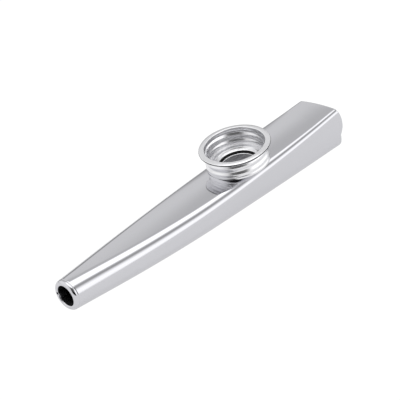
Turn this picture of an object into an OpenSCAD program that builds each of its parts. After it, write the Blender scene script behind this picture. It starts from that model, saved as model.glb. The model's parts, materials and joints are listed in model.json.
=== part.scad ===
// Metal kazoo: a tapered tube rolled from one sheet, with a round threaded socket on top,
// a flared cap that screws down into it, and a membrane held under the cap.
// The tube lies along X, from the outlet at -X to the mouth end at +X. It rests on z = 0.

/* [Tube] */
// Length of the tube
body_len = 121.9; // [90:0.1:150]
// Thickness of the tube's sheet
sheet = 0.5; // [0.3:0.05:0.8]
// Outside diameter at the outlet
outlet_d = 10.8; // [9:0.1:13]
// Height of the outlet's lowest point over the flat underside
outlet_lift = 0.49; // [0:0.01:1]
// Distance from the outlet to the neck, where the outlet's taper ends
neck_x = 38.7; // [30:0.1:50]
// Half of the length over which the tube bends at the neck
neck_blend = 22; // [10:1:28]
// Width at the neck, where its tapers would meet
neck_w = 18.5; // [14:0.1:20]
// Height at the neck
neck_h = 10.94; // [10.5:0.01:14]
// Radius of the upper corners at the neck
neck_corner = 3.7; // [2:0.1:4.5]
// Radius of the lower corners at the neck
neck_low_corner = 4.8; // [2:0.1:5]
// How far the top falls from its middle to its sides at the neck
neck_crown = 0.7; // [0:0.05:1.5]
// Half of the length over which the tube bends at its belly, below the collar
belly_blend = 30; // [10:1:36]
// Width at the belly, where its tapers would meet
belly_w = 20.9; // [18:0.1:23]
// Height at the belly
belly_h = 12.36; // [11:0.01:15]
// Radius of the upper corners at the belly
belly_corner = 2.2; // [1.6:0.1:4.5]
// Radius of the lower corners at the belly
belly_low_corner = 4.8; // [2:0.1:5]
// How far the top falls from its middle to its sides at the belly
belly_crown = 1.5; // [0:0.05:2]
// Width at the mouth end
mouth_w = 16.5; // [14:0.1:22]
// Height at the mouth end
mouth_h = 14.15; // [12:0.01:16]
// Radius of the upper corners at the mouth end
mouth_corner = 1.65; // [1.4:0.05:4]
// Radius of the lower corners at the mouth end
mouth_low_corner = 1.6; // [1.4:0.05:4]
// How far the top falls from its middle to its sides at the mouth end
mouth_crown = 0.55; // [0:0.05:1.5]

/* [Tube ends] */
// Diameter of the bore at the outlet
bore_d = 7.8; // [6.5:0.1:8.4]
// Length of the folded edge inside the outlet
outlet_hem = 3.2; // [2:0.1:6]
// Depth of the crease behind the outlet's curl
crease_depth = 0.12; // [0.05:0.01:0.2]
// Length of the folded edge inside the mouth end
mouth_hem = 2.2; // [1.5:0.1:5]
// Thickness of the folded edge at the mouth end
mouth_fold = 1; // [0.8:0.1:1.4]
// How far the mouth end's side edges stand out past its corners
side_reach = 1.54; // [0.5:0.01:2.5]
// How far the right edge of the mouth end stands before the middle, and the left one behind it
mouth_skew = 1.18; // [0:0.01:1.5]
// How far the top edge of the mouth end stands before the middle, and the bottom one behind it
mouth_lean = 0.65; // [0:0.01:1]
// Width of the lock seam inside the tube
seam_w = 2; // [1:0.1:3]
// Thickness of the lock seam
seam_t = 0.6; // [0.3:0.1:0.8]
// Height of the lock seam's middle below the middle of the tube
seam_drop = 1.2; // [0:0.1:2]

/* [Collar] */
// Distance of the collar's axis from the outlet
collar_x = 80.8; // [70:0.1:90]
// Outside diameter of the collar
collar_d = 21.8; // [21.4:0.1:24]
// Height of the collar over the tube
collar_h = 5.2; // [3:0.1:5.4]
// Thickness of the collar's sheet
collar_sheet = 0.3; // [0.2:0.05:0.4]
// Diameter of the seat that the membrane drops into
seat_d = 16; // [15.6:0.1:16.4]
// Depth of the membrane's ledge below the top of the tube
seat_depth = 1.45; // [1.3:0.05:2]
// Width of that ledge
ledge_w = 2; // [1:0.1:3]

/* [Cap] */
// Outside diameter of the lip
lip_d = 24.4; // [23.6:0.1:28]
// Radius of the lip's curl
lip_curl = 0.3; // [0.25:0.05:0.5]
// Height of the curl's middle over the tube
lip_h = 6.3; // [5.8:0.1:8]
// Diameter of the lip's inner edge
mouth_rim_d = 20.6; // [20.4:0.1:22]
// Height of the lip's inner edge over the tube
mouth_rim_h = 6.4; // [6:0.1:7]
// Thickness of the cap's sheet
cap_sheet = 0.3; // [0.2:0.05:0.35]
// Gap between the wall of the membrane's seat and the step in the cap's floor
step_gap = 0.3; // [0.2:0.05:0.5]
// Width of the cap's floor between that step and the hole
floor_w = 0.9; // [0.6:0.1:1.5]

/* [Thread] */
// Pitch of the rolled thread
pitch = 2.5; // [1.8:0.1:2.8]
// Height of the thread's wave from the middle to the crest
thread_wave = 0.19; // [0.08:0.01:0.22]
// Gap between the cap's thread and the collar's
thread_gap = 0.12; // [0.1:0.01:0.2]
// Direction from the axis in which a crest passes the top of the tube
thread_start = 346; // [0:1:359]

/* [Membrane] */
// Thickness of the film
film_t = 0.1; // [0.05:0.01:0.2]
// Height of the ring that carries the film
ring_h = 0.48; // [0.3:0.01:0.7]
// Width of that ring
ring_w = 1.85; // [1:0.05:2.5]
// Height of the seal's flange
seal_h = 0.47; // [0.3:0.01:0.7]
// Width of the seal's flange
seal_w = 1.65; // [1.2:0.05:2]
// Gap between the membrane's pieces and the wall of their seat
seat_gap = 0.15; // [0.1:0.01:0.3]
// Thickness of the seal's lip inside the cap's hole
seal_lip = 0.15; // [0.1:0.01:0.3]
// Gap between the seal and what it touches
seal_gap = 0.03; // [0.02:0.01:0.08]

/* [Hidden] */
$fn = 96;
overrun = 1;                     // how far cuts run past what they cut
embed = 0.05;                    // how far joined shapes run into each other
foot_gap = 0.01;                 // gap between the collar's foot and the tube's top
round_slack = 0.05;              // least half-length of a flat, where the tube is round
ring_steps = 72;                 // points round each section of the tube
turn_steps = 60;                 // points round each threaded wall
flat_share = 1 / 6;              // share of a quarter turn that a flat takes on either side
flat_full = 0.5;                 // half-length from which a flat is drawn straight
curl_steps = 6;                  // steps round a curl at the tube's ends
lip_steps = 10;                  // steps round the lip's curl
form_steps = 3;                  // sections over which the mouth end's edge takes its shape
reach_steps = 80;                // places at which the reach of a side edge is tried
station_gap = 8;                 // distance between sections along the tube
wall_step = pitch / 6;           // distance between the points down a threaded wall

outlet_r = outlet_d / 2;
outlet_curl = (outlet_d - bore_d) / 4 + embed;
mouth_curl = mouth_fold / 2;
mouth_form = 4 * mouth_hem;      // length over which the mouth end's edge takes its shape
crease_w = outlet_curl / 3;
ledge_d = seat_d - 2 * ledge_w;
step_d = seat_d - 2 * step_gap;
hole_d = step_d - 2 * floor_w;
ring_id = seat_d - 2 * seat_gap - 2 * ring_w;
seal_id = seat_d - 2 * seat_gap - 2 * seal_w;

// A value that runs straight from a at the outlet to b at the neck, on to c at the belly and to
// d at the mouth end, with a parabola between two straight runs
function bend(x, place, blend, turn) = turn * pow(max(blend - abs(x - place), 0), 2) / (4 * blend);
function along(x, a, b, c, d) =
    let (s1 = (b - a) / neck_x, s2 = (c - b) / (collar_x - neck_x),
         s3 = (d - c) / (body_len - collar_x))
    (x < neck_x ? a + s1 * x : x < collar_x ? b + s2 * (x - neck_x) : c + s3 * (x - collar_x))
    + bend(x, neck_x, neck_blend, s2 - s1) + bend(x, collar_x, belly_blend, s3 - s2);

function half_width(x) = along(x, outlet_r, neck_w / 2, belly_w / 2, mouth_w / 2);
function underside(x) = along(x, outlet_lift, 0, 0, 0);
function top_side(x) = along(x, outlet_lift + outlet_d, neck_h, belly_h, mouth_h);
function upper_corner(x) = along(x, outlet_r, neck_corner, belly_corner, mouth_corner);
function lower_corner(x) = along(x, outlet_r, neck_low_corner, belly_low_corner, mouth_low_corner);
function crown(x) = along(x, 0, neck_crown, belly_crown, mouth_crown);
function half_height(x) = (top_side(x) - underside(x)) / 2;
function mid_height(x) = (top_side(x) + underside(x)) / 2;

// How far the mouth end's edge reaches past its corners, at shares y and z of the half-sizes.
// Its sides have an upper and a lower lobe, given by the height of the middle and by how far
// the lobe runs above and below it. The whole edge is skewed and leans.
upper_lobe_shares = [0.05, 0.8, 0.55];
lower_lobe_shares = [-0.6, 0.3, 0.3];
lower_reach_share = 0.26;
function lobe(z, shares) = 1 - pow((z - shares[0]) / (z > shares[0] ? shares[1] : shares[2]), 2);
function reach(y, z) =
    side_reach * max(0, lobe(z, upper_lobe_shares), lower_reach_share * lobe(z, lower_lobe_shares))
    - mouth_skew * y + mouth_lean * z;
max_reach = max([for (i = [0:reach_steps]) reach(-1, 2 * i / reach_steps - 1)]);

// Where a point of the section at x lies along the tube, at shares y and z of the half-sizes
function edged(x, y, z) =
    x + ramp(x, body_len - mouth_hem - mouth_form, body_len - mouth_hem) * (reach(y, z) - max_reach);

// One section of the tube at x, moved inwards by inset: a rounded rectangle with a crowned top,
// and a circle where the corner radius is half its height
function section(x, inset) =
    let (w = half_width(x) - inset, h = half_height(x) - inset, flat = 90 * flat_share)
    [for (i = [0:ring_steps - 1])
        let (t = 360 * i / ring_steps, sy = cos(t) < 0 ? -1 : 1, upper = sin(t) >= 0,
             sharp = upper ? upper_corner(x) : lower_corner(x),
             r = min(max(sharp - inset, mouth_corner / 4), w - round_slack, h - round_slack),
             a = atan2(abs(sin(t)), abs(cos(t))),
             turned = 90 * min(1, max(0, (a - flat) / (90 - 2 * flat))),
             n = a + (turned - a) * min(1, (h - r) / flat_full),
             y = (w - r) * min(1, (90 - a) / flat) + r * cos(n),
             rise = (h - r) * min(1, a / flat) + r * sin(n),
             z = upper ? rise * (1 - crown(x) / h * pow(y / w, 2)) : -rise)
        [edged(x, sy * y / w, z / h), sy * y, mid_height(x) + z]];

// Faces that join a closed row of m rings, n points each, into one skin
function loop_faces(m, n) =
    [for (i = [0:m - 1], j = [0:n - 1])
        let (k = (i + 1) % m, l = (j + 1) % n)
        each [[i * n + j, k * n + j, k * n + l], [i * n + j, k * n + l, i * n + l]]];

// Faces that join an open row of m rings, n points each, and close both ends
function row_faces(m, n) = concat(
    [for (i = [0:m - 2], j = [0:n - 1])
        let (l = (j + 1) % n)
        each [[i * n + j, (i + 1) * n + j, (i + 1) * n + l], [i * n + j, (i + 1) * n + l, i * n + l]]],
    [for (j = [1:n - 2]) [0, j, j + 1]],
    [for (j = [1:n - 2]) [(m - 1) * n, (m - 1) * n + j + 1, (m - 1) * n + j]]);

// Places along the tube from a to b, about station_gap apart
function stations(a, b) =
    let (n = ceil(abs(b - a) / station_gap))
    [for (i = [0:n]) a + (b - a) * i / n];

// The sheet's path, as pairs of place along the tube and depth below its outer surface:
// out along the outside, round the mouth end's curl, back inside and round the outlet's curl
function sheet_path() = concat(
    [[outlet_curl, 0], [outlet_curl + crease_w, crease_depth], [outlet_curl + 2 * crease_w, 0]],
    [for (x = stations(outlet_curl + 3 * crease_w, body_len - mouth_hem - mouth_form)) [x, 0]],
    [for (i = [1:form_steps]) [body_len - mouth_hem - mouth_form * (1 - i / form_steps), 0]],
    [for (i = [0:curl_steps])
        let (t = 180 * i / curl_steps)
        [body_len - mouth_curl * (1 - sin(t)), mouth_curl * (1 - cos(t))]],
    [[body_len - mouth_hem, mouth_fold], [body_len - mouth_hem - mouth_curl, sheet]],
    [for (i = [1:form_steps - 1]) [body_len - mouth_hem - mouth_form * i / form_steps, sheet]],
    [for (x = stations(body_len - mouth_hem - mouth_form, outlet_hem + outlet_curl)) [x, sheet]],
    [[outlet_hem, 2 * outlet_curl]],
    [for (i = [0:curl_steps - 1])
        let (t = 180 * i / curl_steps)
        [outlet_curl * (1 - sin(t)), outlet_curl * (1 + cos(t))]]);

module tube_skin() {
    path = sheet_path();
    rings = [for (p = path) section(p[0], p[1])];
    polyhedron([for (ring = rings) each ring], loop_faces(len(rings), ring_steps));
}

// Distance from the middle plane to the tube's side, at this height below its middle
function side_face(x, drop) =
    let (r = lower_corner(x), over = max(0, drop + r - half_height(x)))
    half_width(x) - r + sqrt(r * r - over * over);

// The folded seam that closes the sheet, a flat strip along the inside of the left wall
module seam() {
    rows = [for (x = stations(outlet_hem - embed, body_len - mouth_hem + embed))
        let (sunk = side_face(x, seam_drop + seam_w / 2) - sheet / 2,
             face = side_face(x, seam_drop) - sheet - seam_t,
             low = mid_height(x) - seam_drop - seam_w / 2, high = low + seam_w, bevel = seam_t / 2,
             at = edged(x, 1, -seam_drop / half_height(x)))
        [[at, sunk, low], [at, sunk, high], [at, face, high - bevel], [at, face, low + bevel]]];
    polyhedron([for (row = rows) each row], row_faces(len(rows), 4));
}

// Everything on the collar's axis is drawn upright at the origin and placed by this: the axis
// stands square on the tube's sloping top, and the collar, with its sheet's thickness to spare
// all round, clears the bend of that top
foot_d = collar_d + 2 * collar_sheet;
before_z = top_side(collar_x - foot_d / 2);
behind_z = top_side(collar_x + foot_d / 2);
top_tilt = atan((behind_z - before_z) / foot_d);
collar_z = max(top_side(collar_x), (before_z + behind_z) / 2) + foot_gap;
module on_tube() {
    translate([collar_x, 0, collar_z]) rotate([0, -top_tilt, 0]) children();
}

// Heights over the top of the tube, from the ledge upwards
ledge_z = -seat_depth;
film_top = ledge_z + film_t;
ring_top = film_top + ring_h;
seal_bottom = ring_top + seal_gap;
seal_top = seal_bottom + seal_h;
floor_bottom = seal_top + seal_gap;
floor_top = floor_bottom + cap_sheet;
shelf_bottom = collar_sheet + seal_gap;
shelf_top = shelf_bottom + cap_sheet;

// Middle radii of the threaded walls, from the collar's outside inwards
collar_in_r = collar_d / 2 - thread_wave - collar_sheet;
cap_out_r = collar_in_r - thread_gap;
fade = pitch / 3;                // height over which the thread runs out
flare_h = pitch / 3;             // height of the cap's shoulder over the collar
flare_r = mouth_rim_d / 2 + cap_sheet - cap_out_r;

// The rolled thread: a right-hand wave round and up the wall
function wave(z, turn) = thread_wave * cos(360 * z / pitch - turn + thread_start);
function ramp(z, a, b) = min(1, max(0, (z - a) / (b - a)));

// The collar's inner face, plain at its foot, where it is at its widest
function collar_face(z, turn) =
    let (full = ramp(z, shelf_top, shelf_top + fade))
    collar_in_r + full * wave(z, turn) + (1 - full) * thread_wave;

// The cap's outer face, plain at its foot, where it is at its narrowest, and flared over the
// collar, by a shoulder and then by an even slope
function cap_face(z, turn) =
    let (full = ramp(z, shelf_top, shelf_top + fade), out = ramp(z, collar_h, collar_h + flare_h),
         slope = ramp(z, collar_h, mouth_rim_h))
    cap_out_r + full * (1 - out) * wave(z, turn) - (1 - full) * thread_wave
    + flare_r * (out + slope) / 2;

function heights(a, b) =
    let (n = ceil(abs(b - a) / wall_step))
    [for (i = [0:n]) a + (b - a) * i / n];

// A wall swept round the axis, its section given as a closed loop of radius and height
module threaded_skin(loops) {
    points = [for (k = [0:turn_steps - 1]) let (turn = 360 * k / turn_steps)
        for (p = loops[k]) [p[0] * cos(turn), p[0] * sin(turn), p[1]]];
    polyhedron(points, loop_faces(turn_steps, len(loops[0])));
}

boss_r = seat_d / 2 + collar_sheet;
seat_bevel = collar_sheet;       // the seat's rim opens by this much, over twice the height
plate_r = (boss_r + cap_out_r) / 2;
shelf_r = plate_r;
step_run = cap_sheet;            // how far the step in the cap's floor leans out

function collar_loop(turn) = concat(
    [for (z = heights(collar_sheet, collar_h)) [collar_face(z, turn), z]],
    [for (z = heights(collar_h, collar_sheet)) [collar_face(z, turn) + collar_sheet, z]],
    [[collar_face(0, turn) + collar_sheet - embed, embed],
     [plate_r, embed], [plate_r, collar_sheet - embed],
     [collar_face(0, turn) - embed, collar_sheet - embed]]);

// The collar: its wall, and inside the tube's hole the boss with the membrane's ledge
module turret_collar() {
    color("gainsboro") on_tube() {
        threaded_skin([for (k = [0:turn_steps - 1]) collar_loop(360 * k / turn_steps)]);
        rotate_extrude() polygon([
            [boss_r, 0], [plate_r + embed, 0], [plate_r + embed, collar_sheet],
            [seat_d / 2 + seat_bevel, collar_sheet], [seat_d / 2, collar_sheet - 2 * seat_bevel],
            [seat_d / 2, ledge_z], [ledge_d / 2, ledge_z],
            [ledge_d / 2, ledge_z - collar_sheet], [boss_r, ledge_z - collar_sheet]]);
    }
}

// The lip's curl, from its top over and round to its underside
function lip_arc() =
    [for (i = [0:lip_steps])
        let (t = 90 - 180 * i / lip_steps)
        [lip_d / 2 - lip_curl * (1 - cos(t)), lip_h + lip_curl * sin(t)]];

function cap_loop(turn) = concat(
    [for (z = heights(shelf_top, mouth_rim_h)) [cap_face(z, turn) - cap_sheet, z]],
    lip_arc(),
    [for (z = heights(mouth_rim_h - cap_sheet, shelf_top)) [cap_face(z, turn), z]],
    [[cap_face(0, turn) - embed, shelf_bottom + embed],
     [shelf_r, shelf_bottom + embed], [shelf_r, shelf_top - embed],
     [cap_face(0, turn) - cap_sheet - embed, shelf_top - embed]]);

// The cap: its wall and lip, and the floor with its step and its hole
module turret_cap() {
    color("white") on_tube() {
        threaded_skin([for (k = [0:turn_steps - 1]) cap_loop(360 * k / turn_steps)]);
        rotate_extrude() polygon([
            [hole_d / 2, floor_bottom], [step_d / 2, floor_bottom],
            [step_d / 2 + step_run + embed, shelf_bottom], [shelf_r + embed, shelf_bottom],
            [shelf_r + embed, shelf_top], [step_d / 2 + step_run, shelf_top],
            [step_d / 2, floor_top], [hole_d / 2, floor_top]]);
    }
}

// The seal: a flange under the cap's floor, and a lip that stands inside the cap's hole
module seal_ring() {
    color("black") on_tube() rotate_extrude() polygon([
        [seal_id / 2, seal_bottom], [seat_d / 2 - seat_gap, seal_bottom],
        [seat_d / 2 - seat_gap, seal_top], [hole_d / 2 - seal_gap, seal_top],
        [hole_d / 2 - seal_gap, floor_top], [hole_d / 2 - seal_gap - seal_lip, floor_top]]);
}

module membrane_ring() {
    color("silver") on_tube() rotate_extrude()
        translate([ring_id / 2, film_top]) square([(seat_d - ring_id) / 2 - seat_gap, ring_h]);
}

module membrane_film() {
    color("dimgray") on_tube()
        translate([0, 0, ledge_z]) cylinder(r = seat_d / 2 - seat_gap, h = film_t);
}

// The tube, with the bore at its outlet and the hole that the collar sits in
module body_tube() {
    color("silver") difference() {
        union() {
            tube_skin();
            seam();
        }
        translate([-overrun, 0, mid_height(0)]) rotate([0, 90, 0])
            cylinder(d = bore_d, h = overrun + outlet_hem + outlet_curl);
        on_tube() translate([0, 0, ledge_z - collar_sheet - overrun])
            cylinder(r = boss_r, h = seat_depth + collar_sheet + 2 * overrun);
    }
}

// The whole part, with its origin in the middle of the footprint
module placed() { translate([-body_len / 2, 0, 0]) children(); }

placed() body_tube();
placed() turret_collar();
placed() turret_cap();
placed() seal_ring();
placed() membrane_ring();
placed() membrane_film();
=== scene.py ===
# Kazoo: satin aluminium tube, spun aluminium cap in its collar, smoky film under a black seal
import json
import math

import bmesh
import bpy
import numpy as np
from mathutils import Matrix, Vector


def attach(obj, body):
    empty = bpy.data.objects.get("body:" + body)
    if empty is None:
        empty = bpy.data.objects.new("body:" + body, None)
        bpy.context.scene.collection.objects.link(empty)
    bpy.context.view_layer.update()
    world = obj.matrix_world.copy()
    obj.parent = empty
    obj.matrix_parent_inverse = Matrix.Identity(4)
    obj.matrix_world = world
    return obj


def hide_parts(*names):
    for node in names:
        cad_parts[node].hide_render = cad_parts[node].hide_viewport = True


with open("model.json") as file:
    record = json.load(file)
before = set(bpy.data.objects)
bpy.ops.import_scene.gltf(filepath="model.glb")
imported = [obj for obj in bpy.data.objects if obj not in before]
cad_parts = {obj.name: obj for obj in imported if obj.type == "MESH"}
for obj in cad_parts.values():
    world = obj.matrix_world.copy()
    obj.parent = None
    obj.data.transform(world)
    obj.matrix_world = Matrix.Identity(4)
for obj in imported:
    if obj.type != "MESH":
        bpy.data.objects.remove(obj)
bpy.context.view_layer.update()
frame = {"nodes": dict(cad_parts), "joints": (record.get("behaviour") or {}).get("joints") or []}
print("frame loaded:", ", ".join(sorted(frame["nodes"])))

mm = 0.001  # shapes are worked out in millimetres, and 4 / mm is 4 features a millimetre
around = 240  # points round the tube and round each of the turret's pieces


def linear(hexColour):  # an sRGB hex value as linear red, green, blue, alpha
    parts = [int(hexColour[i:i + 2], 16) / 255 for i in (1, 3, 5)]
    light = (c / 12.92 if c <= 0.04045 else ((c + 0.055) / 1.055) ** 2.4 for c in parts)
    return tuple(light) + (1.0,)


def addNode(tree, kind, props=(), values=(), links=()):  # a node with its settings and links
    made = tree.nodes.new(kind)
    for key, value in dict(props).items():
        setattr(made, key, value)
    for key, value in dict(values).items():
        made.inputs[key].default_value = value
    for key, source in dict(links).items():
        tree.links.new(source, made.inputs[key])
    return made


def newMaterial(name):  # an empty material and its node tree
    material = bpy.data.materials.new(name)
    material.use_nodes = True
    material.node_tree.nodes.clear()
    return material, material.node_tree


# drawn aluminium, satin: metal grey, its reflections soft at their edges, with faint lines along
# the tube from polishing
def satinAluminium():
    material, tree = newMaterial("satinAluminium")
    spot = addNode(tree, "ShaderNodeTexCoord")
    # polishing lines 0.25 mm apart and 12.5 mm long: real ones are finer, and would not show
    stretched = addNode(tree, "ShaderNodeMapping", values={"Scale": (0.08 / mm, 4 / mm, 4 / mm)},
                        links={"Vector": spot.outputs["Object"]})
    lines = addNode(tree, "ShaderNodeTexNoise", values={"Scale": 1.0, "Detail": 3.0},
                    links={"Vector": stretched.outputs["Vector"]})
    # handling marks, patches about 6 mm across
    patches = addNode(tree, "ShaderNodeTexNoise", values={"Scale": 0.16 / mm, "Detail": 4.0},
                      links={"Vector": spot.outputs["Object"]})
    rough = addNode(tree, "ShaderNodeMapRange", values={"To Min": 0.07, "To Max": 0.11},
                    links={"Value": patches.outputs["Fac"]})
    bump = addNode(tree, "ShaderNodeBump", values={"Strength": 0.04, "Distance": 0.02 * mm},
                   links={"Height": lines.outputs["Fac"]})
    metal = addNode(tree, "ShaderNodeBsdfPrincipled",
                    values={"Base Color": linear("#CECED2"), "Metallic": 1.0},
                    links={"Roughness": rough.outputs["Result"], "Normal": bump.outputs["Normal"]})
    addNode(tree, "ShaderNodeOutputMaterial", links={"Surface": metal.outputs["BSDF"]})
    return material


# dark matt sheet with a grain of about 1.1 mm: the tube's dark inside, and painted shade in the gap
# of the outlet's roll and on the shaded edge of the cap's lip
def darkSheetAndPaintedShade():
    material, tree = newMaterial("darkSheetAndPaintedShade")
    spot = addNode(tree, "ShaderNodeTexCoord")
    grain = addNode(tree, "ShaderNodeTexNoise", values={"Scale": 0.9 / mm, "Detail": 5.0},
                    links={"Vector": spot.outputs["Object"]})
    tint = addNode(tree, "ShaderNodeMix", props={"data_type": "RGBA"},
                   values={"A": linear("#2E2E30"), "B": linear("#424244")},
                   links={"Factor": grain.outputs["Fac"]})
    bump = addNode(tree, "ShaderNodeBump", values={"Strength": 0.2, "Distance": 0.1 * mm},
                   links={"Height": grain.outputs["Fac"]})
    metal = addNode(tree, "ShaderNodeBsdfPrincipled", values={"Metallic": 0.6, "Roughness": 0.65},
                    links={"Base Color": tint.outputs["Result"], "Normal": bump.outputs["Normal"]})
    addNode(tree, "ShaderNodeOutputMaterial", links={"Surface": metal.outputs["BSDF"]})
    return material


# spun aluminium, buffed: bright, with soft broad reflections and faint rings left by the spinning
def spunAluminium(axisPoint):
    material, tree = newMaterial("spunAluminium")
    spot = addNode(tree, "ShaderNodeTexCoord")
    centred = addNode(tree, "ShaderNodeMapping", values={"Location": [-c for c in axisPoint]},
                      links={"Vector": spot.outputs["Object"]})
    # rings 2 mm apart, because at Scale 1 they are pi / 10 apart: real ones are too fine to show
    rings = addNode(tree, "ShaderNodeTexWave",
                    props={"wave_type": "RINGS", "rings_direction": "Z", "wave_profile": "SIN"},
                    values={"Scale": 0.16 / mm, "Distortion": 0.6, "Detail": 2.0,
                            "Detail Scale": 1.2},
                    links={"Vector": centred.outputs["Vector"]})
    # unevenness of the sheet over 4 mm, four times as high as the rings
    dents = addNode(tree, "ShaderNodeTexNoise", values={"Scale": 0.25 / mm, "Detail": 1.0},
                    links={"Vector": spot.outputs["Object"]})
    height = addNode(tree, "ShaderNodeMath", props={"operation": "MULTIPLY_ADD"}, values={1: 4.0},
                     links={0: dents.outputs["Fac"], 2: rings.outputs["Fac"]})
    bump = addNode(tree, "ShaderNodeBump", values={"Strength": 0.015, "Distance": 0.03 * mm},
                   links={"Height": height.outputs["Value"]})
    # finger smears 2.5 mm across
    smears = addNode(tree, "ShaderNodeTexNoise", values={"Scale": 0.4 / mm, "Detail": 3.0},
                     links={"Vector": spot.outputs["Object"]})
    rough = addNode(tree, "ShaderNodeMapRange", values={"To Min": 0.275, "To Max": 0.285},
                    links={"Value": smears.outputs["Fac"]})
    metal = addNode(tree, "ShaderNodeBsdfPrincipled",
                    values={"Base Color": linear("#EAEAEC"), "Metallic": 1.0},
                    links={"Roughness": rough.outputs["Result"], "Normal": bump.outputs["Normal"]})
    addNode(tree, "ShaderNodeOutputMaterial", links={"Surface": metal.outputs["BSDF"]})
    return material


# moulded rubber: black and matt, with a grain of 0.2 mm
def sealRubber():
    material, tree = newMaterial("sealRubber")
    spot = addNode(tree, "ShaderNodeTexCoord")
    grain = addNode(tree, "ShaderNodeTexNoise", values={"Scale": 5 / mm, "Detail": 3.0},
                    links={"Vector": spot.outputs["Object"]})
    rough = addNode(tree, "ShaderNodeMapRange", values={"To Min": 0.5, "To Max": 0.7},
                    links={"Value": grain.outputs["Fac"]})
    bump = addNode(tree, "ShaderNodeBump", values={"Strength": 0.2, "Distance": 0.03 * mm},
                   links={"Height": grain.outputs["Fac"]})
    rubber = addNode(tree, "ShaderNodeBsdfPrincipled",
                     values={"Base Color": linear("#0C0C0D"), "IOR": 1.52,
                             "Specular IOR Level": 0.3},
                     links={"Roughness": rough.outputs["Result"], "Normal": bump.outputs["Normal"]})
    addNode(tree, "ShaderNodeOutputMaterial", links={"Surface": rubber.outputs["BSDF"]})
    return material


# thin stretched plastic film: smooth, smoke grey over the dark tube, with paler streaks along the
# tube, 0.7 mm wide and 8 mm long
def smokyFilm():
    material, tree = newMaterial("smokyFilm")
    spot = addNode(tree, "ShaderNodeTexCoord")
    # the turn comes after the scale, so it moves the streaks and leaves their direction
    drawn = addNode(tree, "ShaderNodeMapping",
                    values={"Rotation": (0, 0, math.radians(35)),
                            "Scale": (0.12 / mm, 1.5 / mm, 0.3 / mm)},
                    links={"Vector": spot.outputs["Object"]})
    streaks = addNode(tree, "ShaderNodeTexNoise", values={"Scale": 1.0, "Detail": 3.0},
                      links={"Vector": drawn.outputs["Vector"]})
    tint = addNode(tree, "ShaderNodeMix", props={"data_type": "RGBA"},
                   values={"A": linear("#3C3C3F"), "B": linear("#8A8A8E")},
                   links={"Factor": streaks.outputs["Fac"]})
    skin = addNode(tree, "ShaderNodeBsdfPrincipled", values={"Roughness": 0.22, "IOR": 1.5},
                   links={"Base Color": tint.outputs["Result"]})
    addNode(tree, "ShaderNodeOutputMaterial", links={"Surface": skin.outputs["BSDF"]})
    return material


# a grid of points as one mesh: rows by columns, each way closed or open, and a material number
# for each point, which the face that starts there takes
def gridPiece(name, points, closeRows, closeColumns, materials, numbers=None):
    rows, columns = points.shape[:2]
    i = np.arange(rows if closeRows else rows - 1)[:, None]
    j = np.arange(columns if closeColumns else columns - 1)[None, :]
    nextI, nextJ = (i + 1) % rows, (j + 1) % columns
    faces = np.stack([i * columns + j, i * columns + nextJ,
                      nextI * columns + nextJ, nextI * columns + j], -1).reshape(-1, 4)
    mesh = bpy.data.meshes.new(name)
    mesh.vertices.add(rows * columns)
    mesh.vertices.foreach_set("co", (points * mm).astype(np.float32).ravel())
    mesh.loops.add(faces.size)
    mesh.loops.foreach_set("vertex_index", faces.astype(np.int32).ravel())
    mesh.polygons.add(len(faces))
    mesh.polygons.foreach_set("loop_start", np.arange(0, faces.size, 4, dtype=np.int32))
    for material in materials:
        mesh.materials.append(material)
    if numbers is not None:
        mesh.polygons.foreach_set("material_index", numbers[i, j].astype(np.int32).ravel())
    mesh.polygons.foreach_set("use_smooth", np.ones(len(faces), dtype=bool))
    mesh.update(calc_edges=True)
    mesh.validate()
    piece = bpy.data.objects.new(name, mesh)
    bpy.context.scene.collection.objects.link(piece)
    return piece


tube = dict(
    length=121.9, neck=38.7, neckBend=22, belly=80.8, bellyBend=30,
    # sizes at the outlet, the neck, the belly below the collar, and the mouth end
    halfWidths=(5.4, 9.25, 10.45, 8.25), tops=(11.29, 10.94, 12.36, 14.15),
    undersides=(0.49, 0, 0, 0), crowns=(0, 0.7, 1.5, 0.55),
    upperCorners=(5.4, 3.7, 2.2, 1.65), lowerCorners=(5.4, 4.8, 4.8, 1.6),
    # the smallest corner radius, the least half height beside a corner, the degrees of a quarter
    # turn that go to a flat face, and the half height over which a circle becomes a rectangle
    leastCorner=0.4, leastFlat=0.02, flatTurn=15, squareOver=0.5,
    sheet=0.5,
    # the outlet's hem inside: its curl, its length, and the slope at its end
    outletCurl=0.8, hem=3.2, hemSlope=0.3,
    # the crease behind the outlet's roll: depth, width, distance, and where the fine rows end
    crease=0.12, creaseW=0.17, creaseX=0.25, creaseEnd=2.6,
    # the outlet's roll: its reach along the outside and the inside, and the depth of its front and
    # its throat below the outer surface
    rollOut=1.15, rollIn=0.5, rollFront=1.2, rollThroat=1.75,
    # the gap where the seam ends in the roll: its middle and half width round the outlet in
    # degrees, how far it is pushed back, its middle below the front, its height, and the share of
    # it from which it is painted dark as shade
    notchTurn=-6, notchHalf=7, notchDepth=0.6, notchIn=0.12, notchH=0.22, notchShade=0.45,
    # the mouth end's fold, its hem with the slope at its end, and the length over which the tube
    # takes on the form of that edge
    mouthFold=1.0, mouthHem=2.2, mouthSlope=0.25, formX=8.8,
    # how far from the two hems the inside's even rows start and end, and where the outlet's hem
    # has rows
    mouthEven=0.8, outletEven=1, hemRows=(2.0, 1.2),
    # the edge's lobes: their reach, their middles, and the half heights of the upper lobe above
    # and below its middle and of the lower lobe, as shares of the half height
    sideReach=1.54, lowerReach=0.26, upperAt=0.05, lowerAt=-0.6,
    upperAbove=0.8, upperBelow=0.55, lowerHalf=0.3,
    skew=1.18, lean=0.65,  # how far the edge is skewed to one side, and leans out at its top
)


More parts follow.
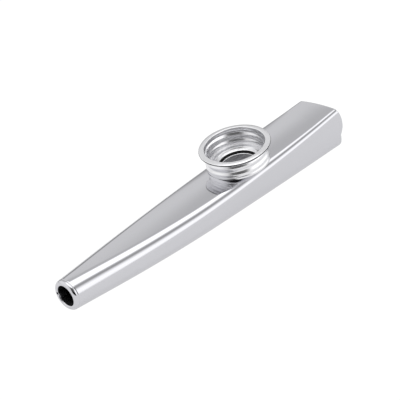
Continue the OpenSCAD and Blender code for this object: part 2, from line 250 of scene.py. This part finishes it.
# a size that runs straight from the outlet to the neck, the belly and the mouth end, with a
# parabola in place of each bend
def along(x, sizes):
    places = (0, tube["neck"], tube["belly"], tube["length"])
    slopes = np.diff(sizes) / np.diff(places)
    size = np.interp(x, places, sizes)
    for k, bend in ((1, tube["neckBend"]), (2, tube["bellyBend"])):
        left = np.maximum(bend - np.abs(x - places[k]), 0)
        size = size + (slopes[k] - slopes[k - 1]) * left ** 2 / (4 * bend)
    return size


# how far the mouth end's edge stands out past its corners, at shares y and z of the half-sizes:
# two parabola lobes one above the other on each side, on an edge that is skewed and leans
def mouthReach(y, z):
    t = tube
    half = np.where(z > t["upperAt"], t["upperAbove"], t["upperBelow"])
    upper = 1 - ((z - t["upperAt"]) / half) ** 2
    lower = t["lowerReach"] * (1 - ((z - t["lowerAt"]) / t["lowerHalf"]) ** 2)
    return t["sideReach"] * np.maximum(0, np.maximum(upper, lower)) - t["skew"] * y + t["lean"] * z


# the tube's surface: at x, and at an angle round it, a rounded rectangle moved inwards by inset,
# with a crowned top, which is a circle where its corner radius is half its height
def tubeSurface(x, inset, turn):
    t = tube
    top, bottom = along(x, t["tops"]), along(x, t["undersides"])
    w, h = along(x, t["halfWidths"]) - inset, (top - bottom) / 2 - inset
    signY, upper = np.sign(np.cos(turn) + 1e-12), np.sin(turn) > -1e-12
    sharp = np.where(upper, along(x, t["upperCorners"]), along(x, t["lowerCorners"]))
    r = np.minimum(np.maximum(sharp - inset, t["leastCorner"]), np.minimum(w, h) - t["leastFlat"])
    a = np.arctan2(np.abs(np.sin(turn)), np.abs(np.cos(turn)))
    flat = math.radians(t["flatTurn"])
    turned = np.clip((a - flat) / (math.pi / 2 - 2 * flat), 0, 1) * math.pi / 2
    n = a + (turned - a) * np.minimum(1, (h - r) / t["squareOver"])
    y = (w - r) * np.minimum(1, (math.pi / 2 - a) / flat) + r * np.cos(n)
    z = (h - r) * np.minimum(1, a / flat) + r * np.sin(n)
    z = np.where(upper, z * (1 - along(x, t["crowns"]) / h * (y / w) ** 2), -z)
    form = np.clip(1 - (t["length"] - t["mouthHem"] - x) / t["formX"], 0, 1)
    farthest = mouthReach(-1, np.linspace(-1, 1, 81)).max()
    shifted = x + form * (mouthReach(signY * y / w, z / h) - farthest)
    return np.stack([shifted - t["length"] / 2, signY * y, (top + bottom) / 2 + z], -1)


# the tube as one closed sheet, given by its distance from the outlet and its inset: along the
# outside with a bell curve for the crease, round the mouth end's fold as a half circle, back along
# the inside and its hem, and round the outlet's roll as two quarter ellipses
def makeTube(outside, inside):
    t = tube
    bend = np.linspace(0, math.pi, 25)
    half, curl, rollOut = t["mouthFold"] / 2, t["outletCurl"], t["rollOut"]
    hemEdge = t["length"] - t["mouthHem"]
    formStart = hemEdge - t["formX"]
    outX = np.concatenate([np.linspace(rollOut, t["creaseEnd"], 20),
                           np.linspace(t["creaseEnd"], formStart, 150)[1:],
                           np.linspace(formStart, t["length"] - half, 30)[1:-1]])
    outInset = t["crease"] * np.exp(-((outX - rollOut - t["creaseX"]) / t["creaseW"]) ** 2)
    mouthX, mouthInset = t["length"] - half + half * np.sin(bend), half - half * np.cos(bend)
    inX = np.concatenate([[hemEdge, hemEdge - t["mouthSlope"]],
                          np.linspace(hemEdge - t["mouthEven"], formStart, 10),
                          np.linspace(formStart, t["hem"] + t["outletEven"], 71)[1:]])
    inInset = np.concatenate([[t["mouthFold"]], np.full(len(inX) - 1, t["sheet"])])
    hemX = np.array([t["hem"] + t["hemSlope"], t["hem"], *t["hemRows"]])
    hemInset = np.array([t["sheet"], 2 * curl, 2 * curl, 2 * curl])
    inward = bend < math.pi / 2
    throat = t["rollThroat"] - t["rollFront"]
    outletX = np.where(inward, t["rollIn"], rollOut) * (1 - np.sin(bend))
    outletInset = t["rollFront"] + np.cos(bend) * np.where(inward, throat, t["rollFront"])
    x = np.concatenate([outX, mouthX, inX, hemX, outletX[:-1]])
    inset = np.concatenate([outInset, mouthInset, inInset, hemInset, outletInset[:-1]])
    # the dark inside starts at the outlet's throat, and behind the mouth end's fold
    numbers = np.zeros((len(x), around), dtype=int)
    numbers[len(outX) + len(mouthX):len(x) - len(outletX) + 3] = 1
    turn = np.linspace(0, 2 * math.pi, around, endpoint=False)
    # the gap in the roll, pushed back and painted dark as the shade in it: a bell curve across the
    # roll, and a flatter one round the outlet
    off = np.abs((np.degrees(turn) - t["notchTurn"] + 180) % 360 - 180) / t["notchHalf"]
    across = np.exp(-((inset - t["rollFront"] - t["notchIn"]) / t["notchH"]) ** 2) * (x < rollOut)
    gap = across[:, None] * np.exp(-off[None, :] ** 4)
    numbers[gap > t["notchShade"]] = 1
    grid = tubeSurface(x[:, None] + t["notchDepth"] * gap, inset[:, None], turn[None, :])
    return gridPiece("tubeSheet", grid, True, True, [outside, inside], numbers)


seam = dict(
    start=0.45, width=2.2, thickness=0.5,
    drop=1.2,  # below the middle of the wall
    sunk=0.1,  # how deep its outer corners lie in the sheet
    bright=0.35,  # length of its bright end in the outlet
    dark=1.2,  # where the dark rest of it starts
    beforeHem=0.1, pastHem=0.5,  # what its rows keep from the end of the outlet's hem
    ending=0.3,  # short of the mouth end's hem
    wallLow=-80, wallTop=20,  # the part of the wall that it is fitted to, in degrees above level
)


# the folded seam, a flat strip along the inside of the left wall: a bar of four corners at set
# heights, each where the wall's own curve has that height, found straight between two points of
# it, with the outer two sunk in the sheet and the inner two moved in by the thickness
def makeSeam(outside, inside):
    t, s = tube, seam
    last = t["length"] - t["mouthHem"] - s["ending"]
    x = np.concatenate([[s["start"], s["start"] + s["bright"]],
                        np.linspace(s["dark"], t["hem"] - s["beforeHem"], 4),
                        np.linspace(t["hem"] + s["pastHem"], last, 60)])
    wall = np.where(x < t["hem"], 2 * t["outletCurl"], t["sheet"])
    turn = np.radians(np.linspace(s["wallLow"], s["wallTop"], 201))
    skin = tubeSurface(x[:, None], wall[:, None], turn[None, :])
    middle = (along(x, t["tops"]) + along(x, t["undersides"])) / 2 - s["drop"]
    half, thick = s["width"] / 2, s["thickness"]
    z = middle[:, None] + np.array([-half, half, half - thick, thick - half])
    above = (skin[:, None, :, 2] < z[:, :, None]).sum(-1)
    high = np.take_along_axis(skin, above[:, :, None], 1)
    low = np.take_along_axis(skin, above[:, :, None] - 1, 1)
    rows = low + (high - low) * ((z - low[..., 2]) / (high[..., 2] - low[..., 2]))[..., None]
    rows[..., 1] -= np.array([-s["sunk"], -s["sunk"], thick, thick])
    ends = [np.repeat(row.mean(0)[None, None], 4, 1) for row in (rows[0], rows[-1])]
    grid = np.concatenate([ends[0], rows, ends[1]])
    numbers = np.ones(grid.shape[:2], dtype=int)
    numbers[:2] = 0
    piece = gridPiece("tubeSeam", grid, False, True, [outside, inside], numbers)
    piece.data.polygons.foreach_set("use_smooth", np.zeros(len(piece.data.polygons), dtype=bool))
    return piece


# what the turret's pieces share: the sheet of the collar and the cap, the gap between pieces that
# lie on each other, the thread's pitch, the height of its wave, its start in degrees and the gap
# between the two threads, then the radius of the seat with the gap at its wall for the film, the
# ring and the seal, and the radii of the ring's opening and of the cap's hole
turret = dict(
    sheet=0.3, gap=0.03, pitch=2.5, wave=0.24, start=346, threadGap=0.12,
    seatR=8.0, seatGap=0.15, ringR=6.0, holeR=6.8,
)
seatFit = turret["seatR"] - turret["seatGap"]
bossR = turret["seatR"] + turret["sheet"]
shelfLow = turret["sheet"] + turret["gap"]
shelfTop = shelfLow + turret["sheet"]

# the cap's hinge gives the turret's place on the tube and its axis
capTurn = next(joint for joint in frame["joints"] if joint["name"] == "cap_turn")
place, axis = Vector(capTurn["pos_m"]), Vector(capTurn["axis"]).normalized()
toAxis = Matrix((Vector((0, 1, 0)).cross(axis), Vector((0, 1, 0)), axis))


# places points drawn upright round the turret's axis: turned to the axis, then moved to its foot
def onTube(points):
    return points @ np.array(toAxis) + np.array(place) / mm


def line(a, b, steps):  # straight points from a to b, with no thread on them
    t = np.linspace(0, 1, steps)[:, None]
    return np.hstack([np.array(a) + (np.array(b) - np.array(a)) * t, np.zeros((steps, 1))])


def arc(r, z, radius, start, end, steps):  # points round a circle, angles in degrees
    t = np.radians(np.linspace(start, end, steps))
    return np.stack([r + radius * np.cos(t), z + radius * np.sin(t), 0 * t], -1)


def ramp(z, a, b):  # 0 up to a, straight from there to 1 at b
    return np.clip((z - a) / (b - a), 0, 1)


# a profile of radius, height and share of thread, carried round the turret's axis: the thread is
# a cosine wave that climbs one pitch a turn
def turnedGrid(profile):
    t = turret
    turn = np.linspace(0, 2 * math.pi, around, endpoint=False)[None, :]
    r0, z, share = (profile[:, k][:, None] for k in range(3))
    phase = 2 * math.pi * z / t["pitch"] - turn + math.radians(t["start"])
    r = r0 + share * t["wave"] * np.cos(phase)
    return onTube(np.stack([r * np.cos(turn), r * np.sin(turn), z + 0 * turn], -1))


# cuts the hole for the collar's boss through the tube's top, with a cylinder on the turret's axis
# that is 6 mm high and ends inside the tube
def cutSeat(piece):
    cutterMesh = bmesh.new()
    bmesh.ops.create_cone(cutterMesh, cap_ends=True, segments=144, depth=6 * mm,
                          radius1=bossR * mm, radius2=bossR * mm)
    bmesh.ops.transform(cutterMesh, verts=cutterMesh.verts,
                        matrix=Matrix.Translation(place) @ toAxis.transposed().to_4x4())
    mesh = bpy.data.meshes.new("cutter")
    cutterMesh.to_mesh(mesh)
    cutterMesh.free()
    cutter = bpy.data.objects.new("cutter", mesh)
    bpy.context.scene.collection.objects.link(cutter)
    cut = piece.modifiers.new("seat", "BOOLEAN")
    cut.operation, cut.solver, cut.object = "DIFFERENCE", "EXACT", cutter
    whole = piece.data
    finished = piece.evaluated_get(bpy.context.evaluated_depsgraph_get())
    piece.data = bpy.data.meshes.new_from_object(finished)
    piece.modifiers.clear()
    bpy.data.meshes.remove(whole)
    bpy.data.objects.remove(cutter)
    bpy.data.meshes.remove(mesh)
    piece.data.name = piece.name
    return piece


collar = dict(
    radius=10.9, height=5.2, seatDepth=1.45, ledgeR=6.0,
    edgeDrop=0.12, footRound=0.08, bevel=0.1,  # of the round upper edge, the foot and the corners
)
collarIn = collar["radius"] - turret["wave"] - turret["sheet"]


# the collar's wall at a height: straight at its foot, with the thread's wave growing to its full
# height over a third of a pitch from the cap's shelf
def collarWall(z, extra):
    full = ramp(z, shelfTop, shelfTop + turret["pitch"] / 3)
    return np.stack([collarIn + (1 - full) * turret["wave"] + extra, z, full], -1)


# the collar's closed profile, turned: up the wall's inside, round its edge and down its outside,
# in under the foot, down the boss and in under the ledge, and back over ledge, seat and foot
def makeCollar(metal):
    c, sheet, seatR = collar, turret["sheet"], turret["seatR"]
    ledge, bevel, foot = -c["seatDepth"], c["bevel"], c["footRound"]
    wide = collarIn + turret["wave"]
    up = np.linspace(sheet + bevel, c["height"] - bevel, 60)
    edge = arc(collarIn + sheet / 2, c["height"] - c["edgeDrop"], sheet / 2, 180, 0, 9)
    edge[:, 2] = 1
    profile = np.concatenate([
        collarWall(up, 0), edge, collarWall(up[::-1], sheet),
        arc(wide + sheet - foot, foot, foot, 0, -90, 6),
        line((wide - 2 * bevel, 0), (bossR + bevel, 0), 10),
        line((bossR, -bevel), (bossR, ledge - sheet), 8),
        line((bossR - bevel, ledge - sheet), (c["ledgeR"], ledge - sheet), 8),
        line((c["ledgeR"], ledge), (seatR - bevel, ledge), 8),
        line((seatR, ledge + bevel), (seatR, -sheet), 8),
        line((seatR + bevel, -bevel), (bossR, sheet), 5),
        line((bossR + 2 * bevel, sheet), (wide - 2 * bevel, sheet), 10)])
    return gridPiece("collar", turnedGrid(profile)[::-1], True, True, [metal])


film = dict(
    thickness=0.1,
    underRing=0.01, overLedge=0.005,  # what its faces keep from the ring and the ledge
    sag=0.03,
    creaseTurn=60,  # the creases' direction in degrees
    # their heights, and their waves in radians a millimetre across that direction
    broadH=0.018, broadWave=2.2, fineH=0.009, fineWave=5.1,
    # how the broad ones wander along it, how often, and how much the fine ones slant
    wander=0.5, wanderWave=0.5, fineSlant=0.3,
)
filmTop = -collar["seatDepth"] + film["thickness"]


# the film: a disc with a flat rim, which sags a little inside the ring and has two sets of sine
# waves across one direction, both fading towards the ring with the fourth power of the radius
def makeFilm(plastic):
    f, free = film, turret["ringR"]
    inner = np.linspace(0.02, free, 90)
    r = np.concatenate([inner, [seatFit, seatFit, free, 0.02]])[:, None]
    upper = np.full(len(inner) + 1, filmTop - f["underRing"])
    z = np.concatenate([upper, np.full(3, -collar["seatDepth"] + f["overLedge"])])[:, None]
    turn = np.linspace(0, 2 * math.pi, around, endpoint=False)[None, :]
    across = r * np.sin(turn - math.radians(f["creaseTurn"]))
    lengthways = r * np.cos(turn - math.radians(f["creaseTurn"]))
    fade = np.clip(1 - (r / free) ** 4, 0, 1) * (np.arange(len(r)) < len(inner))[:, None]
    wander = f["wander"] * np.sin(f["wanderWave"] * lengthways)
    creases = (f["broadH"] * np.sin(f["broadWave"] * across + wander)
               + f["fineH"] * np.sin(f["fineWave"] * across + f["fineSlant"] * lengthways))
    z = z - f["sag"] * fade + fade * creases
    grid = onTube(np.stack([r * np.cos(turn), r * np.sin(turn), z], -1))
    return gridPiece("film", grid[::-1], True, True, [plastic])


membraneRing = dict(height=0.48, bevel=0.06)
ringTop = filmTop + membraneRing["height"]


# the ring on the film, turned: a rectangle with its two upper edges bevelled
def makeMembraneRing(metal):
    inner, bevel = turret["ringR"], membraneRing["bevel"]
    profile = np.concatenate([
        line((inner, filmTop), (inner, ringTop - bevel), 4),
        line((inner + bevel, ringTop), (seatFit - bevel, ringTop), 6),
        line((seatFit, ringTop - bevel), (seatFit, filmTop), 4)])
    return gridPiece("membraneRing", turnedGrid(profile)[::-1], True, True, [metal])


seal = dict(
    height=0.47, innerR=6.2, lipWidth=0.15, bevel=0.05,
    # what the cone keeps from the seal's lower and upper edge, the lip's foot from the flange, and
    # the lip's round edge from its width
    coneIn=0.04, lipFoot=0.03, lipRound=0.01,
)
sealLow = ringTop + turret["gap"]
sealTop = sealLow + seal["height"]
floorLow = sealTop + turret["gap"]
floorTop = floorLow + turret["sheet"]


# the seal, turned: a flange with a thin lip inside the cap's hole, its inner face a cone
def makeSeal(rubber):
    s, inner, width, bevel = seal, seal["innerR"], seal["lipWidth"], seal["bevel"]
    lip = turret["holeR"] - turret["gap"]
    profile = np.concatenate([
        line((inner, sealLow + s["coneIn"]), (lip - width, floorTop - s["coneIn"]), 8),
        arc(lip - width / 2, floorTop - bevel, width / 2 - s["lipRound"], 150, 20, 6),
        line((lip, floorTop - 2 * bevel), (lip, sealTop + s["lipFoot"]), 4),
        line((lip + bevel, sealTop), (seatFit - bevel, sealTop), 4),
        line((seatFit, sealTop - bevel), (seatFit, sealLow + bevel), 4),
        line((seatFit - bevel, sealLow), (inner + bevel, sealLow), 4)])
    return gridPiece("seal", turnedGrid(profile)[::-1], True, True, [rubber])


cap = dict(
    # the wall flares up to flareTop, and turns over the rim's round edge into the lip's flange
    flareTop=6.4, rimR=10.3, rimTop=6.95, rimRound=0.3,
    lipR=12.25, lipCurl=0.3, lipH=6.45,
    # the hollow below the flange: its radius, and its place out from the wall and below the curl
    underR=0.2, underOut=0.18, underDrop=0.1,
    shadeTop=38, shadeLow=-53,  # what part of the curl is shaded, in degrees above level
    stepR=7.7, stepRun=0.3, stepBevel=0.06, holeBevel=0.08,
    corner=0.05,  # what the rows keep from the other corners, once, twice or four times
    innerRound=0.25, outerRound=0.15,  # where the wall meets the floor
    floorRingR=9.3, floorRingH=0.07, floorRingW=0.22,  # a low ring pressed up into the floor
)
capOut = collarIn - turret["threadGap"]


# the cap's wall at a height: it follows the collar's thread, which fades out over a third of a
# pitch above the collar, while the wall flares by the mean of a smooth step and a straight slope
def capWall(z, extra):
    t, top = turret, collar["height"]
    full = ramp(z, shelfTop, shelfTop + t["pitch"] / 3)
    out = ramp(z, top, top + t["pitch"] / 3)
    out = out * out * (3 - 2 * out)
    slope = ramp(z, top, cap["flareTop"])
    flare = (cap["rimR"] + t["sheet"] - capOut) * (out + slope) / 2
    return np.stack([capOut - (1 - full) * t["wave"] + flare + extra, z, full * (1 - out)], -1)


# the cap's closed profile, turned: up the wall's inside, over the rim, out along a flange that
# falls as a parabola, round the lip's curl and back under it, down the wall's outside, in under
# the shelf and the step to the hole, and back above them; a bell curve is the ring in the floor
def makeCap(metal, shade):
    c, sheet, holeR = cap, turret["sheet"], turret["holeR"]
    curl, rimRound, under = c["lipCurl"], c["rimRound"], c["underR"]
    inRound, outRound = c["innerRound"], c["outerRound"]
    hole, step, corner = c["holeBevel"], c["stepBevel"], c["corner"]
    stepR, stepOut = c["stepR"], c["stepR"] + c["stepRun"]
    inner = capWall(np.linspace(shelfTop + inRound, c["rimTop"] - rimRound, 90), -sheet)
    rim = arc(inner[-1, 0] + rimRound, inner[-1, 1], rimRound, 165, 92, 12)
    lipTurn = np.linspace(60, -95, 40)
    lip = arc(c["lipR"] - curl, c["lipH"], curl, lipTurn[0], lipTurn[-1], len(lipTurn))
    share = np.linspace(0, 1, 16)[1:-1, None]
    flange = rim[-1] + (lip[0] - rim[-1]) * np.hstack([share, share ** 2, share])
    hollow = arc(c["rimR"] + sheet + c["underOut"], c["lipH"] - curl - c["underDrop"],
                 under, 90, 180, 8)
    down = np.linspace(hollow[-1, 1] - 0.02, shelfLow + 4 * corner, 90)  # from below the hollow
    foot = capOut - turret["wave"]
    shelf = line((stepOut + 2 * corner, shelfTop), (foot - sheet - inRound, shelfTop), 40)
    bell = np.exp(-((shelf[:, 0] - c["floorRingR"]) / c["floorRingW"]) ** 2)
    shelf[:, 1] += c["floorRingH"] * bell
    profile = np.concatenate([
        inner, rim, flange, lip, hollow, capWall(down, 0),
        arc(foot - outRound, shelfLow + outRound, outRound, 0, -90, 6),
        line((stepOut + 4 * corner, shelfLow), (stepR + 2 * corner, floorLow), 6),
        line((holeR + corner, floorLow), (holeR, floorLow + corner), 3),
        line((holeR, floorTop - hole), (holeR + hole, floorTop), 4),
        line((stepR - 2 * step, floorTop), (stepR + step / 2, floorTop + step), 4),
        line((stepOut - step / 2, shelfTop - step), (stepOut + corner, shelfTop), 4),
        shelf, arc(foot - sheet - inRound, shelfTop + inRound, inRound, -90, 0, 8)])
    # the curl's outer edge is shaded, as in the photograph
    numbers = np.zeros((len(profile), around), dtype=int)
    shaded = np.flatnonzero((lipTurn < c["shadeTop"]) & (lipTurn > c["shadeLow"]))
    # these rows take the dark sheet, as painted shade on the curl's outer edge
    numbers[len(inner) + len(rim) + len(flange) + shaded] = 1
    return gridPiece("cap", turnedGrid(profile)[::-1], True, True, [metal, shade], numbers[::-1])


floorPaper = dict(
    size=3000,
    colour="#E6E6E7",
    light=1.06,  # value of its own white
    white=0.97,  # share of that white that the camera sees
    mirrored=0.65,  # share of it that the metal mirrors, the rest being lit paper
)


# a square of white paper: matt where it takes the object's light and shadow, mixed with its own
# white by shares for the camera and for reflections
def makeFloor():
    half = floorPaper["size"] / 2
    corners = np.array([[[-half, -half, 0], [half, -half, 0]], [[-half, half, 0], [half, half, 0]]])
    material, tree = newMaterial("paperFloor")
    paper = addNode(tree, "ShaderNodeBsdfDiffuse", values={"Color": linear(floorPaper["colour"])})
    white = addNode(tree, "ShaderNodeEmission", values={"Strength": floorPaper["light"]})
    ray = addNode(tree, "ShaderNodeLightPath")
    seen = addNode(tree, "ShaderNodeMath", props={"operation": "MULTIPLY"},
                   values={1: floorPaper["white"]}, links={0: ray.outputs["Is Camera Ray"]})
    share = addNode(tree, "ShaderNodeMath", props={"operation": "MULTIPLY_ADD"},
                    values={1: floorPaper["mirrored"]},
                    links={0: ray.outputs["Is Glossy Ray"], 2: seen.outputs["Value"]})
    both = addNode(tree, "ShaderNodeMixShader",
                   links={0: share.outputs["Value"], 1: paper.outputs["BSDF"],
                          2: white.outputs["Emission"]})
    addNode(tree, "ShaderNodeOutputMaterial", links={"Surface": both.outputs["Shader"]})
    floor = gridPiece("floor", corners, False, False, [material])


# a white tent with softboxes and dark gaps, as the metal sees them; the values are strengths of
# the background node, whose own colour is 0.8 grey, so that 1.25 is white
studio = dict(
    tent=1.09,
    panels=[
        # name, heading, half width, middle's height, half height and edge's softness in degrees,
        # and value
        ("upperTent", 0, 180, 70, 33, 8, 0.85),
        ("backTable", 55, 70, 6, 13, 4, 0.5),
        ("roofBox", 0, 180, 75, 17, 4, 2.3),
        ("rightBox", -52, 42, 19, 16, 10, 2.0),
        ("rightGap", -50, 40, 48, 5, 4, 0.6),
        ("leftBox", 130, 40, 33, 30, 8, 1.4),
        ("cameraDim", 224, 32, 40, 15, 6, 0.14),
        ("cameraDark", 224, 32, 12, 15, 6, 0.02),
    ],
    skyWhite=1.3,  # behind the floor, for the camera alone
)


# the tent is drawn on the world: each panel's value is laid over the last by a mask, the product
# of a smooth step in its heading and one in its height above level
def makeStudio():
    world = bpy.data.worlds.new("studio")
    bpy.context.scene.world = world
    world.use_nodes = True
    tree = world.node_tree
    tree.nodes.clear()
    direction = addNode(tree, "ShaderNodeTexCoord").outputs["Generated"]
    value = addNode(tree, "ShaderNodeValue")
    value.outputs[0].default_value = studio["tent"]
    level = value.outputs[0]
    for name, heading, halfW, height, halfH, soft, strength in studio["panels"]:
        turned = addNode(tree, "ShaderNodeVectorRotate",
                         props={"rotation_type": "Z_AXIS", "label": name},
                         values={"Angle": -math.radians(heading)}, links={"Vector": direction})
        parts = addNode(tree, "ShaderNodeSeparateXYZ", links={"Vector": turned.outputs["Vector"]})
        side = addNode(tree, "ShaderNodeMath", props={"operation": "ARCTAN2"},
                       links={0: parts.outputs["Y"], 1: parts.outputs["X"]})
        up = addNode(tree, "ShaderNodeMath", props={"operation": "ARCSINE"},
                     links={0: parts.outputs["Z"]})
        steps = []
        for angle, middle, half in ((side, 0, halfW), (up, height, halfH)):
            off = addNode(tree, "ShaderNodeMath", props={"operation": "SUBTRACT"},
                          values={1: math.radians(middle)}, links={0: angle.outputs["Value"]})
            away = addNode(tree, "ShaderNodeMath", props={"operation": "ABSOLUTE"},
                           links={0: off.outputs["Value"]})
            step = addNode(tree, "ShaderNodeMapRange", props={"interpolation_type": "SMOOTHSTEP"},
                           values={"From Min": math.radians(half - soft),
                                   "From Max": math.radians(half + soft),
                                   "To Min": 1.0, "To Max": 0.0},
                           links={"Value": away.outputs["Value"]})
            steps.append(step.outputs["Result"])
        mask = addNode(tree, "ShaderNodeMath", props={"operation": "MULTIPLY"},
                       links={0: steps[0], 1: steps[1]})
        level = addNode(tree, "ShaderNodeMix", props={"data_type": "FLOAT"}, values={"B": strength},
                        links={"Factor": mask.outputs["Value"], "A": level}).outputs["Result"]
    ray = addNode(tree, "ShaderNodeLightPath")
    seen = addNode(tree, "ShaderNodeMix", props={"data_type": "FLOAT"},
                   values={"B": studio["skyWhite"]},
                   links={"Factor": ray.outputs["Is Camera Ray"], "A": level})
    light = addNode(tree, "ShaderNodeBackground", links={"Strength": seen.outputs["Result"]})
    addNode(tree, "ShaderNodeOutputWorld", links={"Surface": light.outputs["Background"]})


# the camera stands where a camera fitted to the photograph's outline stands
camera = dict(
    place=(-611.1, -789.6, 616.6),
    heading=52.23,  # degrees from +X round to +Y
    dip=31.36,      # degrees below level
    roll=-11.81,    # degrees, clockwise is negative
    lens=318.8,     # for a 36 mm frame
    shiftX=0.0001,
    shiftY=0.0012,
    near=50,        # what it shows starts and ends there, in millimetres
    far=20000,
)


# the view's direction comes from heading and dip, and its right and up are turned about it by roll
def makeCamera():
    c = camera
    heading, dip, roll = (math.radians(c[key]) for key in ("heading", "dip", "roll"))
    ahead = Vector((math.cos(heading) * math.cos(dip), math.sin(heading) * math.cos(dip),
                    -math.sin(dip)))
    right = ahead.cross(Vector((0, 0, 1))).normalized()
    up = right.cross(ahead)
    tiltedRight = right * math.cos(roll) + up * math.sin(roll)
    tiltedUp = up * math.cos(roll) - right * math.sin(roll)
    data = bpy.data.cameras.new("camera")
    data.lens, data.sensor_width, data.sensor_fit = c["lens"], 36, "HORIZONTAL"
    data.shift_x, data.shift_y = c["shiftX"], c["shiftY"]
    data.clip_start, data.clip_end = c["near"] * mm, c["far"] * mm
    made = bpy.data.objects.new("camera", data)
    turn = Matrix((tiltedRight, tiltedUp, -ahead)).transposed().to_4x4()
    made.matrix_world = Matrix.Translation(Vector(c["place"]) * mm) @ turn
    bpy.context.scene.collection.objects.link(made)
    bpy.context.scene.camera = made


makeCamera()
makeStudio()
makeFloor()
bpy.context.scene.view_settings.view_transform = "Standard"
print("studio set up")

satin = satinAluminium()
# the dark sheet: the tube's dark inside, and painted shade in the outlet's gap and on the cap's lip
darkAndPaintedShade = darkSheetAndPaintedShade()
spun = spunAluminium(place)
rubber = sealRubber()
plastic = smokyFilm()
print("materials made")

# each piece with the body that carries it, the CAD piece that it stands for and its material slot
for piece, body, node, slot in (
        (cutSeat(makeTube(satin, darkAndPaintedShade)), "body", "body_tube", "tube_aluminium"),
        (makeSeam(satin, darkAndPaintedShade), "body", "body_tube", "tube_aluminium"),
        (makeCollar(spun), "body", "turret_collar", "turret_aluminium"),
        (makeMembraneRing(spun), "body", "membrane_ring", "ring_aluminium"),
        (makeFilm(plastic), "body", "membrane_film", "film"),
        (makeSeal(rubber), "seal", "seal_ring", "seal_rubber"),
        (makeCap(spun, darkAndPaintedShade), "cap", "turret_cap", "turret_aluminium")):
    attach(piece, body)
    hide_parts(node)
    print("made", piece.name, "with", len(piece.data.polygons), "faces")
